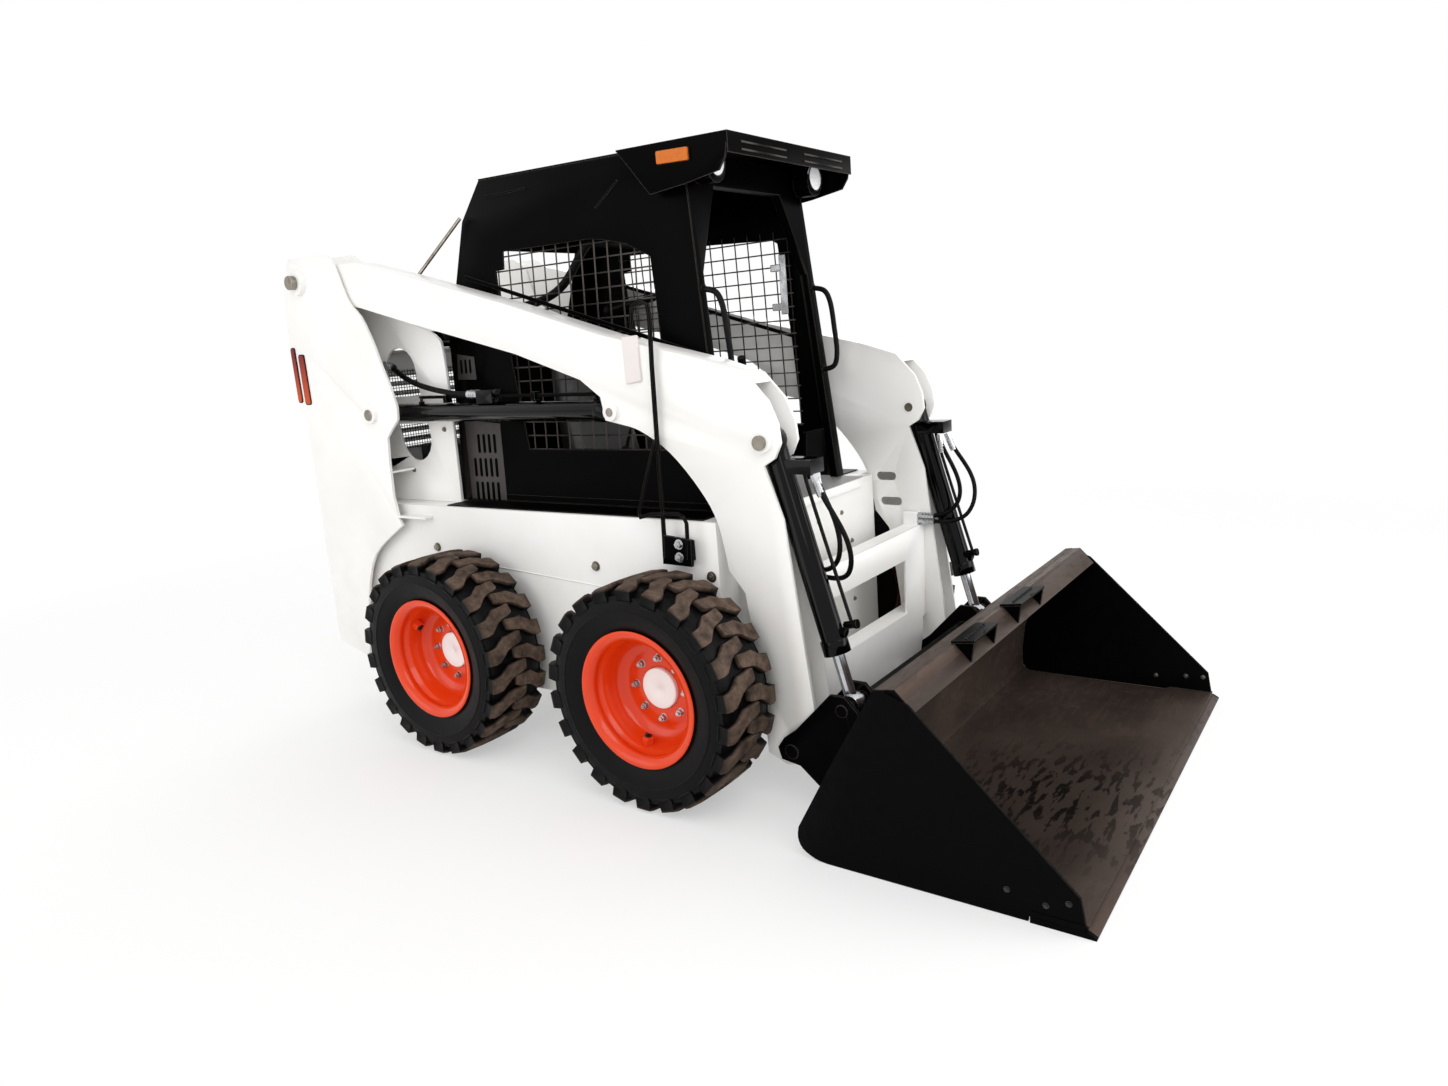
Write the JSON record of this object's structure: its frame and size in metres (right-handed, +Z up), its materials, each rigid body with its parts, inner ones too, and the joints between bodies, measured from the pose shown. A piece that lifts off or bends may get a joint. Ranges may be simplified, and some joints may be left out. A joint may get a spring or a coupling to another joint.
{
  "type": "skid steer loader",
  "caption": "Compact wheeled loader with a caged cab, radius-lift arms on rear uprights, lift and tilt cylinders and a general-purpose bucket.",
  "frame": {"origin": "middle of the footprint at ground level", "axes": "+Z up, -Y the way the machine faces, +X its left side"},
  "size_m": [1.744, 3.4515, 2.1423],
  "materials": {
    "white_paint": "gloss",
    "black_paint": "satin",
    "orange_paint": "gloss",
    "tyre": "matte",
    "chrome": "polished",
    "bucket_steel": "worn",
    "seat_vinyl": "matte",
    "rubber": "matte",
    "cast_iron": "matte",
    "lamp": "gloss"
  },
  "bodies": {
    "chassis": {"axle_front_right": "black_paint", "axle_front_left": "black_paint", "axle_rear_right": "black_paint", "axle_rear_left": "black_paint", "lower_frame": "white_paint", "upright_right": "white_paint", "upright_left": "white_paint", "cab_side_right": "black_paint", "cab_side_left": "black_paint", "window_mesh_right": "black_paint", "window_mesh_left": "black_paint", "cab_roof": "black_paint", "cab_rear": "black_paint", "cab_front": "black_paint", "cab_floor": "black_paint", "grab_handle_right": "black_paint", "grab_handle_left": "black_paint", "engine_block": "cast_iron", "seat": "seat_vinyl", "work_light_right": "lamp", "work_light_left": "lamp", "arm_rods_right": "black_paint", "cab_stay": "chrome"},
    "lift_arms": {"lift_arm_right": "white_paint", "lift_arm_left": "white_paint", "arm_crossmember": "white_paint", "tilt_hose_left_upper": "rubber", "tilt_hose_left_lower": "rubber", "tilt_hose_right_upper": "rubber", "tilt_hose_right_lower": "rubber"},
    "bucket_group": {"bucket_carrier": "black_paint", "bucket": "bucket_steel", "cutting_edge": "bucket_steel"},
    "rear_door": {"rear_door": "white_paint"},
    "hood": {"hood": "black_paint"},
    "seat_bar": {"seat_bar": "black_paint"},
    "wheel_front_right": {"tyre_front_right": "tyre", "rim_front_right": "orange_paint", "hub_front_right": "white_paint"},
    "wheel_front_left": {"tyre_front_left": "tyre", "rim_front_left": "orange_paint", "hub_front_left": "white_paint"},
    "wheel_rear_right": {"tyre_rear_right": "tyre", "rim_rear_right": "orange_paint", "hub_rear_right": "white_paint"},
    "wheel_rear_left": {"tyre_rear_left": "tyre", "rim_rear_left": "orange_paint", "hub_rear_left": "white_paint"},
    "lift_barrel_right": {"lift_barrel_right": "black_paint", "lift_hose_right": "rubber"},
    "lift_rod_right": {"lift_rod_right": "chrome"},
    "tilt_barrel_right": {"tilt_barrel_right": "black_paint"},
    "tilt_rod_right": {"tilt_rod_right": "chrome"},
    "lift_barrel_left": {"lift_barrel_left": "black_paint", "lift_hose_left": "rubber"},
    "lift_rod_left": {"lift_rod_left": "chrome"},
    "tilt_barrel_left": {"tilt_barrel_left": "black_paint"},
    "tilt_rod_left": {"tilt_rod_left": "chrome"}
  },
  "joints": [
    {"name": "lift", "type": "hinge", "parent": "chassis", "child": "lift_arms", "pos_m": [0, 1.598, 1.841], "axis": [-1, 0, 0], "range_deg": [0, 60]},
    {"name": "tilt", "type": "hinge", "parent": "lift_arms", "child": "bucket_group", "pos_m": [0, -0.702, 0.183], "axis": [1, 0, 0], "range_deg": [-25, 97]},
    {"name": "rear_door_swing", "type": "hinge", "parent": "chassis", "child": "rear_door", "pos_m": [-0.452, 1.726, 0.9], "axis": [0, 0, 1], "range_deg": [0, 100]},
    {"name": "hood_lift", "type": "hinge", "parent": "chassis", "child": "hood", "pos_m": [0, 0.992, 1.546], "axis": [1, 0, 0], "range_deg": [0, 45]},
    {"name": "seat_bar_swing", "type": "hinge", "parent": "chassis", "child": "seat_bar", "pos_m": [0, 0.71, 1.64], "axis": [1, 0, 0], "range_deg": [0, 55]},
    {"name": "wheel_spin_front_right", "type": "hinge", "parent": "chassis", "child": "wheel_front_right", "pos_m": [-0.74, -0.29, 0.381], "axis": [1, 0, 0], "continuous": true},
    {"name": "wheel_spin_front_left", "type": "hinge", "parent": "chassis", "child": "wheel_front_left", "pos_m": [0.74, -0.29, 0.381], "axis": [1, 0, 0], "continuous": true},
    {"name": "wheel_spin_rear_right", "type": "hinge", "parent": "chassis", "child": "wheel_rear_right", "pos_m": [-0.74, 0.735, 0.381], "axis": [1, 0, 0], "continuous": true},
    {"name": "wheel_spin_rear_left", "type": "hinge", "parent": "chassis", "child": "wheel_rear_left", "pos_m": [0.74, 0.735, 0.381], "axis": [1, 0, 0], "continuous": true},
    {"name": "lift_barrel_swing_right", "type": "hinge", "parent": "chassis", "child": "lift_barrel_right", "pos_m": [-0.524, 1.229, 1.284], "axis": [-1, 0, 0], "range_deg": [0, 62]},
    {"name": "lift_rod_slide_right", "type": "slide", "parent": "lift_barrel_right", "child": "lift_rod_right", "axis": [0, -1, -0.0085], "range_m": [0, 0.668]},
    {"name": "tilt_barrel_swing_right", "type": "hinge", "parent": "lift_arms", "child": "tilt_barrel_right", "pos_m": [-0.524, -0.654, 1.172], "axis": [1, 0, 0], "range_deg": [-1.2, 3.2]},
    {"name": "tilt_rod_slide_right", "type": "slide", "parent": "tilt_barrel_right", "child": "tilt_rod_right", "axis": [0, -0.2766, -0.961], "range_m": [-0.087, 0.331]},
    {"name": "lift_barrel_swing_left", "type": "hinge", "parent": "chassis", "child": "lift_barrel_left", "pos_m": [0.524, 1.229, 1.284], "axis": [-1, 0, 0], "range_deg": [0, 62]},
    {"name": "lift_rod_slide_left", "type": "slide", "parent": "lift_barrel_left", "child": "lift_rod_left", "axis": [0, -1, -0.0085], "range_m": [0, 0.668]},
    {"name": "tilt_barrel_swing_left", "type": "hinge", "parent": "lift_arms", "child": "tilt_barrel_left", "pos_m": [0.524, -0.654, 1.172], "axis": [1, 0, 0], "range_deg": [-1.2, 3.2]},
    {"name": "tilt_rod_slide_left", "type": "slide", "parent": "tilt_barrel_left", "child": "tilt_rod_left", "axis": [0, -0.2766, -0.961], "range_m": [-0.087, 0.331]}
  ],
  "couplings": [
    {"joint": "lift_barrel_swing_right", "follows": "lift", "ratio": 1.0228},
    {"joint": "lift_rod_slide_right", "follows": "lift", "m_per_rad": 0.637},
    {"joint": "tilt_barrel_swing_right", "follows": "tilt", "ratio": 0.03},
    {"joint": "tilt_rod_slide_right", "follows": "tilt", "m_per_rad": 0.1948},
    {"joint": "lift_barrel_swing_left", "follows": "lift", "ratio": 1.0228},
    {"joint": "lift_rod_slide_left", "follows": "lift", "m_per_rad": 0.637},
    {"joint": "tilt_barrel_swing_left", "follows": "tilt", "ratio": 0.03},
    {"joint": "tilt_rod_slide_left", "follows": "tilt", "m_per_rad": 0.1948}
  ]
}
